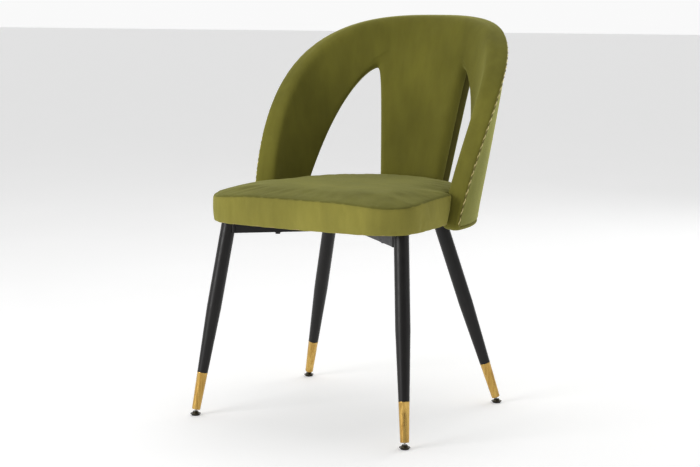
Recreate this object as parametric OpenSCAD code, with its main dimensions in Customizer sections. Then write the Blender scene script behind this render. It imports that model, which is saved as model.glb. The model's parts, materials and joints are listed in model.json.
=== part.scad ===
// Upholstered dining chair: a reclined, flared tub back with two windows, a boxed
// seat, and four splayed tube legs on a welded cross of rails.
// X is left to right, -Y is the front and Z = 0 is the floor.

/* [Overall] */
// Height of the top edge of the back
chair_h = 824; // [780:1:990]
// Height of the underside of the seat
seat_under_z = 409; // [380:1:450]
// Distance from the mid plane of the feet to the front edge of the seat
seat_front = 219; // [200:1:250]
// Width of the seat at the front
seat_w = 470; // [400:1:520]

/* [Seat] */
// Height of the sewn side band
band_h = 60; // [45:1:85]
// Rise of the seat top above its edge seam
crown_h = 12; // [4:1:25]
// Corner radius of the seat at the front
seat_corner_r = 80; // [45:1:90]
// How far the front edge bows forwards at its middle
front_bow = 6; // [0:0.5:12]
// How far the seat's side runs in by the time it meets the back, on each side
side_taper = 8; // [4:1:14]
// Thickness of the plywood seat board
seat_board_t = 15; // [14:1:22]
// Width of the cover that folds under the board
fold_w = 30; // [20:1:40]

/* [Back] */
// Outer radius of the back, 41 mm above the seat's underside
back_radius = 251.5; // [248:0.5:310]
// Outward flare of the back
flare_deg = 6.5; // [3:0.1:9]
// Recline of the back's axis
recline_deg = 7.8; // [4:0.1:11]
// Distance of the back's axis behind the mid plane of the feet
back_axis_y = 39.5; // [20:0.5:50]
// Half of the angle that the back wraps round the seat at its bottom edge
wrap_deg = 97; // [86:0.2:98]
// How far the back's bottom edge hangs below the seat's underside
back_drop = 10; // [6:0.5:16]
// Radius of the back's lower front corners
edge_corner_r = 16; // [8:1:24]
// Fullness of the top edge, where 2 is an ellipse
edge_top_pow = 1.5; // [1.44:0.02:2.4]
// Fullness of the front edge, where 2 is an ellipse
edge_side_pow = 2.83; // [2:0.01:3]
// Thickness of the velvet with its lining
cover_t = 1.5; // [1:0.1:2.5]
// Thickness of the foam behind the board
rear_foam_t = 4; // [2:0.5:8]
// Thickness of the bent plywood board
back_board_t = 10; // [9:0.5:14]
// Thickness of the foam in front of the board
front_foam_t = 24; // [12:0.5:30]
// Diameter of the twisted gold cord
cord_d = 4.5; // [3:0.1:6]
// Distance of the cord's middle in from the edge of the back
cord_in = 6; // [4:0.5:10]
// Clearance between the cord and the rear cover
cord_gap = 0.1; // [0.05:0.05:0.5]

/* [Windows] */
// Half of the splat's angle at the bottom of the windows
splat_low_deg = 18.7; // [14:0.1:22]
// Half of the splat's angle at the top of the windows
splat_top_deg = 24.3; // [18:0.1:26]
// Angle that each window spans along its bottom
window_deg = 46.5; // [30:0.5:48]
// Height of the windows' bottom edge above the seat's underside
window_low = 31; // [28:1:40]
// Distance of the windows' apex below the top edge
window_drop = 114; // [95:1:150]
// Fullness of the window's outer edge
window_side_pow = 0.93; // [0.9:0.01:2]
// Roundness of the window's apex
window_apex_pow = 0.64; // [0.6:0.01:1]

/* [Legs] */
// Half of the distance between the front feet
foot_front_x = 250; // [225:1:270]
// Half of the distance between the rear feet
foot_rear_x = 240; // [215:1:260]
// Distance of each pair of feet from their mid plane
foot_y = 211.5; // [195:0.5:225]
// Distance of a front leg's axis, at its top, in from the side of the seat
leg_in_side = 31; // [30:1:60]
// Distance of a front leg's axis, at its top, behind the front of the seat
leg_in_front = 72; // [60:1:100]
// Distance of a rear leg's axis, at its top, in from the seat's rear edge
leg_in_rear = 36; // [34:0.2:60]
// Angle of a rear leg's top round the back's axis, from the middle
leg_rear_deg = 51; // [40:0.2:60]
// Diameter of the straight upper part of a leg
leg_d = 30; // [26:1:32]
// Diameter of a leg where the gold sleeve starts
leg_low_d = 22; // [20:0.5:24]
// Diameter of a leg at its bottom end
leg_end_d = 17.6; // [14.6:0.2:19]
// Length of the leg from its ball joint to the end of its taper
taper_end = 222; // [150:1:260]
// Wall of the leg tube
leg_wall = 1.5; // [1:0.1:2]
// Length of the gold sleeve
ferrule_len = 79; // [60:1:100]
// Wall of the gold sleeve
ferrule_wall = 1.2; // [0.8:0.1:1.5]

/* [Rails] */
// Width of a cross rail
rail_w = 25; // [20:1:30]
// Height of a cross rail
rail_h = 28; // [18:1:30]
// Wall of a cross rail
rail_wall = 1.5; // [1:0.1:2]
// Place of each seat bolt along its rail, from the leg to the far leg
bolt_place = 0.23; // [0.1:0.01:0.25]

/* [Levellers] */
// Thickness of the rubber pad
pad_t = 3; // [2:0.5:5]
// Diameter of the rubber pad
pad_d = 17; // [15:0.5:20]
// Diameter of the foot's flange
cup_d = 22; // [19:0.5:26]
// Diameter of the ball
ball_d = 7; // [6.6:0.1:7.4]
// Diameter of the levelling screw
stud_d = 8; // [6:0.5:8]
// Length of the screw's thread
stud_len = 20; // [16:1:24]

/* [Fasteners] */
// Diameter of the seat and back bolts
bolt_d = 6; // [5:0.5:6]
// Clearance round a bolt in a plain hole, on the radius
bolt_gap = 0.3; // [0.1:0.05:0.5]
// Running clearance on the radius, for screws and balls
run_gap = 0.05; // [0.02:0.01:0.1]
// Clearance round the edges of the back's foam and board, inside the cover
sew_gap = 0.2; // [0.15:0.05:0.5]
// Clearance between the seat and the back
seat_gap = 1.5; // [1:0.1:3]
// Angle between neighbouring back bolts
back_bolt_step = 32; // [24:1:34]

/* [Hidden] */
$fn = 48;
eps = 0.01;

// Corners of the frame, as signs of X and Y
FRONT_LEFT = [-1, -1];
FRONT_RIGHT = [1, -1];
REAR_LEFT = [-1, 1];
REAR_RIGHT = [1, 1];
CORNERS = [FRONT_LEFT, FRONT_RIGHT, REAR_LEFT, REAR_RIGHT];

// Heights that the whole design shares
ref_z = seat_under_z + 41;
back_low_z = seat_under_z - back_drop;
seam_z = seat_under_z + band_h;
board_low_z = seat_under_z + cover_t;
board_top_z = board_low_z + seat_board_t;
window_z0 = seat_under_z + window_low;
window_z1 = chair_h - window_drop;
rail_z0 = seat_under_z - rail_h;

// Depths of the back's layers, measured inwards from its outer face
foam_rear_depth = cover_t;
board_depth = foam_rear_depth + rear_foam_t;
foam_front_depth = board_depth + back_board_t;
cover_front_depth = foam_front_depth + front_foam_t;
wall_depth = cover_front_depth + cover_t;

// Samples along one half of the back: up the splat, round the edge, along the bottom
N_UP = 12;
N_EDGE = 22;
N_CORNER = 4;
N_LOW = 12;
N_LOOP = N_UP + N_EDGE + N_CORNER + N_LOW;
N_RINGS = 4;

// The seat's plan: samples along one half
N_FRONT = 4;
N_SEAT_CORNER = 7;
N_SIDE = 3;
N_REAR = 14;
SEAT_RINGS = [0.94, 0.8, 0.6, 0.35, 0.12];

// Screw, ball and cup
ball_r = ball_d / 2;
socket_r = ball_r + run_gap;
cup_floor = 0.8;
ball_z = pad_t + cup_floor + socket_r;
cup_lip = 1.6;
cup_top_d = 10.4;
cup_dome_d = 14;
cup_flange_t = 1.6;
cup_edge = 0.5;
cup_side_h = 2.2;
pad_edge = 0.5;
neck_r = 1.9;
hex_z0 = 5.8;
hex_t = 1.4;
hex_r = 5.5;
stop_z = hex_z0 + hex_t;
sleeve_z0 = 5.6;
sleeve_z1 = sleeve_z0 + ferrule_len;
spigot_wall = 1.3;
nut_r = leg_end_d / 2 - ferrule_wall - spigot_wall;
nut_len = 20;
nut_room = 2;

// Welds and caps
bead_r = 4;
bead_end = 1;
cap_t = 4;

// Bolts
bolt_r = bolt_d / 2;
head_r = 5.25;
head_h = 3.4;
washer_r = 8;
washer_t = 1.5;
hex_key_r = 2.3;
hex_key_depth = 2;
t_nut_flange_r = 9.5;
t_nut_flange_t = 1.5;
t_nut_r = 4.25;
tip_room = 1;
spacer_r = 5.5;
spacer_seat = 2;
insert_r = 4.5;
insert_len = 16;
back_bolt_z = board_low_z + seat_board_t / 2;
head_sink = 2;
back_bolt_seat = board_depth + head_sink + head_h;
spacer_out = back_bolt_depth(foam_front_depth - spacer_seat);
spacer_in = back_r(back_bolt_z) - wall_depth - seat_gap - cover_t - spacer_seat;

// The origin sits at the middle of the chair's footprint
front_y = -max(seat_front, foot_y + cup_d / 2);
cord_out = cord_d / 2 + cord_gap;
cord_top_z = chair_h - cord_in;
rear_y = back_y(cord_top_z) + back_r(cord_top_z) + cord_out + cord_d / 2;
mid_y = (front_y + rear_y) / 2;

function deg_of(len) = len / back_radius * 180 / PI;
function back_r(z) = back_radius + tan(flare_deg) * (z - ref_z);
function back_y(z) = back_axis_y + tan(recline_deg) * (z - ref_z);
function back_bolt_depth(depth) = back_r(back_bolt_z) - depth;

// A point of the back from [angle, height] and its depth below the outer face
function on_back(p, depth) =
    let (r = back_r(p[1]) - depth)
    [r * sin(p[0]), back_y(p[1]) + r * cos(p[0]), p[1]];

function blend(a, b, t) = a * (1 - t) + b * t;

// Angle of the back's front edge at a height
function edge_deg(z) =
    wrap_deg * pow(1 - pow(max(0, z - back_low_z) / (chair_h - back_low_z), edge_top_pow),
                   1 / edge_side_pow);

// Outer loop of one half of the back, inset by d: centre line, edge, corner, bottom
function edge_loop(d) =
    let (z0 = back_low_z + d, h = chair_h - d - z0, w = wrap_deg - deg_of(d),
         r = edge_corner_r - d, r_deg = deg_of(r),
         a0 = asin(pow(r / h, edge_top_pow / 2)),
         phi0 = w * pow(cos(a0), 2 / edge_side_pow))
    concat(
        [for (i = [0:N_UP - 1]) [0, z0 + h * i / N_UP]],
        [for (i = [0:N_EDGE - 1])
            let (a = blend(90, a0, pow(i / N_EDGE, edge_side_pow / 2)))
            [w * pow(cos(a), 2 / edge_side_pow), z0 + h * pow(sin(a), 2 / edge_top_pow)]],
        [for (i = [0:N_CORNER - 1])
            let (b = 90 * i / N_CORNER)
            [phi0 - r_deg * (1 - cos(b)), z0 + r * (1 - sin(b))]],
        [for (i = [0:N_LOW - 1]) [(phi0 - r_deg) * (1 - i / N_LOW), z0]]);

// Angle of the splat's edge, t running from 0 at the sill to 1 at the apex
function splat_deg(t) = blend(splat_low_deg, splat_top_deg, t) + pow(t, 12);

// Angle of the window's outer edge, with the window widened by dd on each side
function pillar_deg(t, dd) =
    splat_deg(t) - dd
    + (window_deg + 2 * dd) * pow(max(0, 1 - pow(t, window_side_pow)), window_apex_pow);

// Loop of a window, outset by d: up the splat, down the pillar, back along the sill
function window_loop(d) =
    let (z0 = window_z0 - d, h = window_z1 + 2 * d - z0, dd = deg_of(d),
         n = N_EDGE + N_CORNER)
    concat(
        [for (i = [0:N_UP - 1]) [splat_deg(i / N_UP) - dd, z0 + h * i / N_UP]],
        [for (i = [0:n - 1])
            let (t = 1 - pow(i / n, 1.5))
            [pillar_deg(t, dd), z0 + h * t]],
        [for (i = [0:N_LOW - 1])
            [blend(pillar_deg(0, dd), splat_deg(0) - dd, i / N_LOW), z0]]);

function lift(loop, depth) = [for (p = loop) on_back(p, depth)];

// Rings from the window to the edge, both moved by d, at one depth
function sheet(d, depth) =
    let (inner = window_loop(d), outer = edge_loop(d))
    [for (j = [0:N_RINGS])
        [for (i = [0:N_LOOP - 1]) on_back(blend(inner[i], outer[i], j / N_RINGS), depth)]];

function reverse(list) = [for (i = [len(list) - 1:-1:0]) list[i]];
function flat(lists) = [for (l = lists) each l];
function mirror_x(points) = [for (p = points) [-p[0], p[1], p[2]]];

// Triangles between ring a and ring b, from sample first to the loop's end. Where turned
// is true they split along the other diagonal, so that a surface that is listed
// backwards has the same facets as its neighbour's.
function strip(a, b, first, n, base, turned) = [
    for (i = [first:n - 1])
        let (k = (i + 1) % n, a0 = base + a * n + i, a1 = base + a * n + k,
             b0 = base + b * n + i, b1 = base + b * n + k)
        each (turned ? [[a0, b0, a1], [a1, b0, b1]] : [[a0, b0, b1], [a0, b1, a1]])
];

function reverse_faces(faces) = [for (f = faces) [f[0], f[2], f[1]]];

// Both halves of a closed panel, from its outer rings to its inner ones, which are
// listed backwards. The strips between the two run along the edge only, because the
// two halves meet on the centre line. wrap holds further rings round that edge.
module panel(outer, wrap, inner) {
    n = N_LOOP;
    rings = concat(outer, wrap, reverse(inner));
    m = len(rings);
    edge = len(outer) - 1;
    turn = len(outer) + len(wrap);
    points = flat(rings);
    half = [
        for (r = [0:m - 1])
            each strip(r, (r + 1) % m, r < edge || r >= turn ? 0 : N_UP, n, 0, r >= turn)
    ];
    other = [for (f = reverse_faces(half)) [for (v = f) v + len(points)]];
    polyhedron(concat(points, mirror_x(points)), concat(half, other), convexity = 8);
}

// One foam or wood layer of the back
module layer(outer_depth, inner_depth) {
    d = cover_t + sew_gap;
    panel(sheet(d, outer_depth), [], sheet(d, inner_depth));
}

// Closed tube of rings, for a lining or a band. The rings from turn on run backwards.
module ring_tube(rings, turn) {
    n = len(rings[0]);
    m = len(rings);
    polyhedron(flat(rings), [for (r = [0:m - 1]) each strip(r, (r + 1) % m, 0, n, 0, r >= turn)],
               convexity = 8);
}

// Stack of rings with a flat cap at each end, listed from the bottom up
module ring_stack(rings) {
    n = len(rings[0]);
    m = len(rings);
    start = m * n;
    low = centre(rings[0]);
    high = centre(rings[m - 1]);
    polyhedron(
        concat(flat(rings), [low, high]),
        concat(
            [for (r = [0:m - 2]) each strip(r, r + 1, 0, n, 0, false)],
            [for (i = [0:n - 1]) [start, i, (i + 1) % n]],
            [for (i = [0:n - 1]) [start + 1, (m - 1) * n + (i + 1) % n, (m - 1) * n + i]]),
        convexity = 8);
}

function centre(ring) =
    let (n = len(ring), total = [for (p = ring) 1] * ring)
    [0, total[1] / n, total[2] / n];

// Plan of the seat at height z, inset by d, from the front centre round to the right
function seat_half(z, d) =
    let (w = seat_w / 2 - d, y0 = -seat_front + d, r = seat_corner_r - d, bow = front_bow,
         rim = back_y(z) + back_r(z) * cos(edge_deg(z)) - seat_gap - d,
         rear_r = rear_seat_r(z) - d,
         side = seat_w / 2 - side_taper - d,
         a1 = acos((rim + d - back_y(z)) / rear_r))
    concat(
        [for (i = [0:N_FRONT - 1])
            let (x = (w - r) * i / N_FRONT) [x, y0 + bow * pow(i / N_FRONT, 2)]],
        [for (i = [0:N_SEAT_CORNER - 1])
            let (a = 90 * i / (N_SEAT_CORNER - 1))
            [w - r + r * sin(a), y0 + bow + r * (1 - cos(a))]],
        [for (i = [1:N_SIDE])
            [blend(w, side, pow(i / N_SIDE, 2)), blend(y0 + bow + r, rim, i / N_SIDE)]],
        [[rear_r * sin(a1), rim]],
        [for (i = [1:N_REAR])
            let (a = a1 * (1 - i / N_REAR))
            [rear_r * sin(a), max(rim, back_y(z) + rear_r * cos(a))]]);

function seat_ring(z, d) =
    let (half = seat_half(z, d), n = len(half))
    [each [for (p = half) [p[0], p[1], z]],
     each [for (i = [n - 2:-1:1]) [-half[i][0], half[i][1], z]]];

// Rings of the crown: the seam's ring drawn in towards the middle of the seat
function crown_rings(lift_z) = [
    for (s = SEAT_RINGS)
        [for (p = seat_ring(seam_z, cover_t))
            [p[0] * s, p[1] * s, seam_z + lift_z + crown_h * (1 - s * s)]]
];

// Leg geometry
function foot_at(c) = [c[0] * (c[1] < 0 ? foot_front_x : foot_rear_x), c[1] * foot_y, ball_z];
function rear_seat_r(z) = back_r(z) - wall_depth - seat_gap;
function top_at(c) =
    let (rear_r = rear_seat_r(seat_under_z) - leg_in_rear)
    c[1] < 0
        ? [c[0] * (seat_w / 2 - leg_in_side), leg_in_front - seat_front, seat_under_z]
        : [c[0] * rear_r * sin(leg_rear_deg),
           back_y(seat_under_z) + rear_r * cos(leg_rear_deg), seat_under_z];
function rail_end(c) =
    let (a = foot_at(c), b = top_at(c), t = (rail_z0 + rail_h / 2 - a[2]) / (b[2] - a[2]))
    [blend(a[0], b[0], t), blend(a[1], b[1], t)];
function opposite(c) = [-c[0], -c[1]];

module place() {
    translate([0, -mid_y, 0]) children();
}

// Frame with its origin at the ball's centre and Z up the leg
module on_leg(c) {
    d = top_at(c) - foot_at(c);
    place()
        translate(foot_at(c))
            rotate([0, atan2(norm([d[0], d[1]]), d[2]), atan2(d[1], d[0])])
                children();
}

module below_seat(c) {
    intersection() {
        children();
        place()
            translate([-seat_w, -seat_w, 0]) cube([2 * seat_w, 2 * seat_w, seat_under_z]);
    }
}

// Horizontal frame along a rail, its origin at the leg and X towards the far leg
module on_rail(c) {
    a = rail_end(c);
    b = rail_end(opposite(c));
    place()
        translate([a[0], a[1], rail_z0])
            rotate([0, 0, atan2(b[1] - a[1], b[0] - a[0])])
                children();
}

function rail_len(c) = norm(rail_end(opposite(c)) - rail_end(c));

// A rail's outer block, from its leg's axis along part of its length
module rail_bar(c, part) {
    on_rail(c) translate([0, -rail_w / 2, 0]) cube([rail_len(c) * part, rail_w, rail_h]);
}

// The hollow inside a rail, which runs past both of its ends
module rail_hollow(c) {
    on_rail(c)
        translate([-rail_w, -rail_w / 2 + rail_wall, rail_wall])
            cube([rail_len(c) + 2 * rail_w, rail_w - 2 * rail_wall, rail_h - 2 * rail_wall]);
}

// Cutter of a rail's width that runs past its top and bottom
module rail_cut(c) {
    on_rail(c) translate([0, -rail_w / 2, -rail_h]) cube([rail_len(c), rail_w, 3 * rail_h]);
}

// A leg's outer surface, turned so that its start line faces away from the rail
module leg_solid(c) {
    on_leg(c) rotate([0, 0, 180]) cylinder(d = leg_d, h = seat_under_z * 1.2);
}

module at_seat_bolt(c) {
    on_rail(c) translate([rail_len(c) * bolt_place, 0, 0]) children();
}

module seat_bolt_holes(r) {
    for (c = CORNERS) at_seat_bolt(c) translate([0, 0, -rail_h]) cylinder(r = r, h = 4 * rail_h);
}

module rail_tube(c, part) {
    difference() {
        rail_bar(c, part);
        rail_hollow(c);
        leg_solid(c);
        at_seat_bolt(c) translate([0, 0, -1]) cylinder(r = bolt_r + bolt_gap, h = rail_h + 2);
        if (part == 1) {
            leg_solid(opposite(c));
            at_seat_bolt(opposite(c))
                translate([0, 0, -1]) cylinder(r = bolt_r + bolt_gap, h = rail_h + 2);
        }
    }
}

// Radial frames of the back bolts: Z points inwards, the origin on the back's axis
module at_back_bolts() {
    for (k = [-2:2])
        place()
            translate([0, back_y(back_bolt_z), back_bolt_z])
                rotate([0, 0, -k * back_bolt_step])
                    rotate([-90, 0, 0])
                        children();
}

module back_bolt_holes(r, from, to) {
    at_back_bolts() translate([0, 0, from]) cylinder(r = r, h = to - from);
}

// ---- Back ----

module back_board() {
    color("burlywood") difference() {
        place() layer(board_depth, foam_front_depth);
        back_bolt_holes(bolt_r + bolt_gap, spacer_in, back_radius * 1.1);
        back_bolt_holes(head_r + bolt_gap, back_bolt_depth(back_bolt_seat), back_radius * 1.1);
        back_bolt_holes(spacer_r, spacer_in, spacer_out);
    }
}

module back_foam_front() {
    color("khaki") difference() {
        place() layer(foam_front_depth, cover_front_depth);
        back_bolt_holes(spacer_r, spacer_in, spacer_out);
    }
}

module back_foam_rear() {
    color("khaki") place() layer(foam_rear_depth, board_depth);
}

// Inner face of a cover, with the same facets as the layer that it lies on
function hidden_rings(depth) =
    concat([for (d = [0, cover_t]) lift(window_loop(d), depth)],
           sheet(cover_t + sew_gap, depth));

module back_cover_front() {
    wrap = [lift(edge_loop(cover_t), cover_front_depth),
            lift(edge_loop(cover_t), foam_rear_depth), lift(edge_loop(0), foam_rear_depth)];
    color("darkolivegreen") difference() {
        place() panel(hidden_rings(cover_front_depth), wrap, sheet(0, wall_depth));
        back_bolt_holes(spacer_r, spacer_in, spacer_out);
    }
}

module back_cover_rear() {
    wrap = [for (d = [0, cover_t]) lift(edge_loop(d), foam_rear_depth)];
    color("darkolivegreen") place() panel(sheet(0, 0), wrap, hidden_rings(foam_rear_depth));
}

module window_lining(side) {
    rings = [lift(window_loop(0), foam_rear_depth), lift(window_loop(0), cover_front_depth),
             lift(window_loop(cover_t), cover_front_depth),
             lift(window_loop(cover_t), foam_rear_depth)];
    color("darkolivegreen") place() mirror([side < 0 ? 1 : 0, 0, 0])
        ring_tube(reverse(rings), len(rings));
}

module window_lining_left() { window_lining(-1); }
module window_lining_right() { window_lining(1); }

// The cord lies along the outer corner of the edge, standing just off it
module back_cord() {
    loop = edge_loop(cord_in);
    half = [for (i = [N_UP:N_LOOP - N_LOW]) loop[i]];
    n = len(half);
    path = concat([for (i = [n - 1:-1:1]) [-half[i][0], half[i][1]]], half);
    m = len(path);
    centres = lift(path, -cord_out);
    sides = 8;
    rings = [
        for (i = [0:m - 1])
            let (a = centres[max(0, i - 1)], b = centres[min(m - 1, i + 1)],
                 t = (b - a) / norm(b - a),
                 u0 = [sin(path[i][0]), cos(path[i][0]), 0],
                 u1 = u0 - t * (u0 * t), u = u1 / norm(u1), v = cross(t, u))
            [for (k = [0:sides - 1])
                centres[i] + (u * cos(360 * k / sides) + v * sin(360 * k / sides)) * cord_d / 2]
    ];
    color("goldenrod") place() polyhedron(
        flat(rings),
        concat([for (r = [0:m - 2]) each strip(r, r + 1, 0, sides, 0, false)],
               [[for (k = [0:sides - 1]) k]],
               [[for (k = [sides - 1:-1:0]) (m - 1) * sides + k]]),
        convexity = 8);
}

module back_bolts() {
    seat_at = back_bolt_depth(back_bolt_seat);
    tip = spacer_in - insert_len;
    color("dimgray") at_back_bolts() difference() {
        union() {
            translate([0, 0, seat_at]) cylinder(r = head_r, h = head_h);
            translate([0, 0, tip]) cylinder(r = bolt_r, h = seat_at - tip + eps);
        }
        translate([0, 0, seat_at + head_h - hex_key_depth])
            cylinder(r = hex_key_r, h = head_h, $fn = 6);
    }
}

module back_spacers() {
    color("silver") at_back_bolts() translate([0, 0, spacer_in]) difference() {
        cylinder(r = spacer_r, h = spacer_out - spacer_in);
        translate([0, 0, -1]) cylinder(r = bolt_r + bolt_gap, h = spacer_out - spacer_in + 2);
    }
}

module back_inserts() {
    color("gold") at_back_bolts() translate([0, 0, spacer_in - insert_len]) difference() {
        cylinder(r = insert_r, h = insert_len);
        translate([0, 0, -1]) cylinder(r = bolt_r + run_gap, h = insert_len + 2);
    }
}

// ---- Seat ----

module seat_board() {
    color("burlywood") difference() {
        place() ring_stack([seat_ring(board_low_z, cover_t), seat_ring(board_top_z, cover_t)]);
        seat_bolt_holes(t_nut_r);
        for (c = CORNERS)
            at_seat_bolt(c)
                translate([0, 0, board_top_z - t_nut_flange_t - rail_z0])
                    cylinder(r = t_nut_flange_r, h = rail_h);
        back_bolt_holes(insert_r, spacer_in - insert_len, spacer_out);
        back_bolt_holes(spacer_r, spacer_in, spacer_out);
    }
}

module seat_foam() {
    color("khaki") place() ring_stack(concat(
        [seat_ring(board_top_z, cover_t), seat_ring(seam_z, cover_t)], crown_rings(0)));
}

module seat_cover_top() {
    color("olivedrab") place() ring_stack(concat(
        reverse(crown_rings(0)),
        [seat_ring(seam_z, cover_t), seat_ring(seam_z, 0), seat_ring(seam_z + cover_t, 0)],
        crown_rings(cover_t)));
}

module seat_band() {
    levels = [seat_under_z, board_low_z, board_top_z, seam_z];
    outer = [for (z = levels) seat_ring(z, 0)];
    inner = [for (z = [seam_z, board_top_z, board_low_z]) seat_ring(z, cover_t)];
    fold = [for (z = [board_low_z, seat_under_z]) seat_ring(z, fold_w)];
    color("olivedrab") difference() {
        place() ring_tube(concat(outer, inner, fold), len(outer));
        back_bolt_holes(spacer_r, spacer_in, spacer_out);
    }
}

module seat_dust_cover() {
    color("black") difference() {
        place() ring_stack([seat_ring(seat_under_z, fold_w), seat_ring(board_low_z, fold_w)]);
        seat_bolt_holes(bolt_r + bolt_gap);
    }
}

module seat_t_nuts() {
    color("silver") for (c = CORNERS)
        at_seat_bolt(c) translate([0, 0, board_low_z - rail_z0]) difference() {
            union() {
                cylinder(r = t_nut_r, h = seat_board_t);
                translate([0, 0, seat_board_t - t_nut_flange_t])
                    cylinder(r = t_nut_flange_r, h = t_nut_flange_t);
            }
            translate([0, 0, -1]) cylinder(r = bolt_r + run_gap, h = seat_board_t + 2);
        }
}

module seat_bolts() {
    color("dimgray") for (c = CORNERS) at_seat_bolt(c) difference() {
        union() {
            translate([0, 0, -washer_t - head_h]) cylinder(r = head_r, h = head_h);
            translate([0, 0, -washer_t - eps])
                cylinder(r = bolt_r, h = washer_t + rail_h + cover_t + seat_board_t - tip_room);
        }
        translate([0, 0, -washer_t - head_h - 1])
            cylinder(r = hex_key_r, h = hex_key_depth + 1, $fn = 6);
    }
}

module seat_washers() {
    color("silver") for (c = CORNERS) at_seat_bolt(c) translate([0, 0, -washer_t]) difference() {
        cylinder(r = washer_r, h = washer_t);
        translate([0, 0, -1]) cylinder(r = bolt_r + bolt_gap, h = washer_t + 2);
    }
}

// ---- Frame ----

module long_rail() {
    color("black") rail_tube(FRONT_LEFT, 1);
}

module short_rail(c) {
    color("black") difference() {
        rail_tube(c, cross_share(c));
        rail_cut(FRONT_LEFT);
    }
}

// Share of a short rail's line at which it crosses the long rail
function cross_share(c) =
    let (a = rail_end(c), d = rail_end(opposite(c)) - a, p = rail_end(FRONT_LEFT),
         q = rail_end(REAR_RIGHT) - p, w = p - a)
    (w[0] * q[1] - w[1] * q[0]) / (d[0] * q[1] - d[1] * q[0]);

module short_rail_front() { short_rail(FRONT_RIGHT); }
module short_rail_rear() { short_rail(REAR_LEFT); }

// Fillet welds in the corners between each rail and its leg
module weld_beads() {
    reach = sqrt(pow(leg_d / 2, 2) - pow(rail_w / 2, 2)) + bead_r / 3;
    color("black") for (c = CORNERS) for (side = [-1, 1]) difference() {
        on_rail(c)
            translate([reach, side * rail_w / 2, bead_end])
                cylinder(r = bead_r, h = rail_h - 2 * bead_end);
        leg_solid(c);
        rail_bar(c, 1);
    }
}

// ---- Legs ----

module leg(c) {
    slope = (leg_low_d - leg_end_d) / 2 / ferrule_len;
    spigot_top = leg_low_d / 2 - ferrule_wall;
    spigot_low = leg_end_d / 2 + slope * (stop_z - sleeve_z0) - ferrule_wall;
    color("black") below_seat(c) on_leg(c) rotate([0, 0, 90]) rotate_extrude() polygon([
        [nut_r, stop_z], [spigot_low, stop_z], [spigot_top, sleeve_z1], [leg_low_d / 2, sleeve_z1],
        [leg_d / 2, taper_end], [leg_d / 2, seat_under_z * 1.15],
        [leg_d / 2 - leg_wall, seat_under_z * 1.15], [leg_d / 2 - leg_wall, taper_end],
        [spigot_top - leg_wall, sleeve_z1], [nut_r, stop_z + nut_len + nut_room]
    ]);
}

module sleeve(c) {
    color("gold") on_leg(c) rotate_extrude() polygon([
        [leg_end_d / 2 - ferrule_wall, sleeve_z0], [leg_end_d / 2, sleeve_z0],
        [leg_low_d / 2, sleeve_z1], [leg_low_d / 2 - ferrule_wall, sleeve_z1]
    ]);
}

module leg_nut(c) {
    color("silver") on_leg(c) translate([0, 0, stop_z]) difference() {
        cylinder(r = nut_r, h = nut_len);
        translate([0, 0, -1]) cylinder(r = stud_d / 2 + run_gap, h = nut_len + 2);
    }
}

module leg_caps() {
    color("black") for (c = CORNERS)
        on_leg(c)
            translate([0, 0, norm(top_at(c) - foot_at(c)) - leg_d / 2 - cap_t])
                cylinder(d = leg_d - 2 * leg_wall, h = cap_t);
}

module screw(c) {
    color("silver") on_leg(c) {
        sphere(r = ball_r);
        cylinder(r = neck_r, h = hex_z0 + eps);
        translate([0, 0, hex_z0]) cylinder(r = hex_r, h = hex_t, $fn = 6);
        translate([0, 0, stop_z - eps]) cylinder(d = stud_d, h = stud_len);
    }
}

module at_foot(c) {
    place() translate([foot_at(c)[0], foot_at(c)[1], 0]) children();
}

module foot_cup(c) {
    top = ball_z + cup_lip;
    flange_z = pad_t + cup_flange_t;
    color("dimgray") at_foot(c) difference() {
        rotate_extrude() polygon([
            [0, pad_t], [cup_d / 2 - cup_edge, pad_t], [cup_d / 2, pad_t + cup_edge],
            [cup_d / 2, flange_z - cup_edge], [cup_d / 2 - cup_edge, flange_z],
            [cup_dome_d / 2, flange_z], [cup_dome_d / 2 - cup_edge, flange_z + cup_side_h],
            [cup_top_d / 2, top], [0, top]
        ]);
        translate([0, 0, ball_z]) sphere(r = socket_r);
    }
}

module foot_pad(c) {
    color("gray") at_foot(c) rotate_extrude() polygon([
        [0, 0], [pad_d / 2 - pad_edge, 0], [pad_d / 2, pad_edge], [pad_d / 2, pad_t], [0, pad_t]
    ]);
}

module leg_front_left() { leg(FRONT_LEFT); }
module leg_front_right() { leg(FRONT_RIGHT); }
module leg_rear_left() { leg(REAR_LEFT); }
module leg_rear_right() { leg(REAR_RIGHT); }
module sleeve_front_left() { sleeve(FRONT_LEFT); }
module sleeve_front_right() { sleeve(FRONT_RIGHT); }
module sleeve_rear_left() { sleeve(REAR_LEFT); }
module sleeve_rear_right() { sleeve(REAR_RIGHT); }
module leg_nut_front_left() { leg_nut(FRONT_LEFT); }
module leg_nut_front_right() { leg_nut(FRONT_RIGHT); }
module leg_nut_rear_left() { leg_nut(REAR_LEFT); }
module leg_nut_rear_right() { leg_nut(REAR_RIGHT); }
module screw_front_left() { screw(FRONT_LEFT); }
module screw_front_right() { screw(FRONT_RIGHT); }
module screw_rear_left() { screw(REAR_LEFT); }
module screw_rear_right() { screw(REAR_RIGHT); }
module foot_cup_front_left() { foot_cup(FRONT_LEFT); }
module foot_cup_front_right() { foot_cup(FRONT_RIGHT); }
module foot_cup_rear_left() { foot_cup(REAR_LEFT); }
module foot_cup_rear_right() { foot_cup(REAR_RIGHT); }
module foot_pad_front_left() { foot_pad(FRONT_LEFT); }
module foot_pad_front_right() { foot_pad(FRONT_RIGHT); }
module foot_pad_rear_left() { foot_pad(REAR_LEFT); }
module foot_pad_rear_right() { foot_pad(REAR_RIGHT); }

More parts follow.
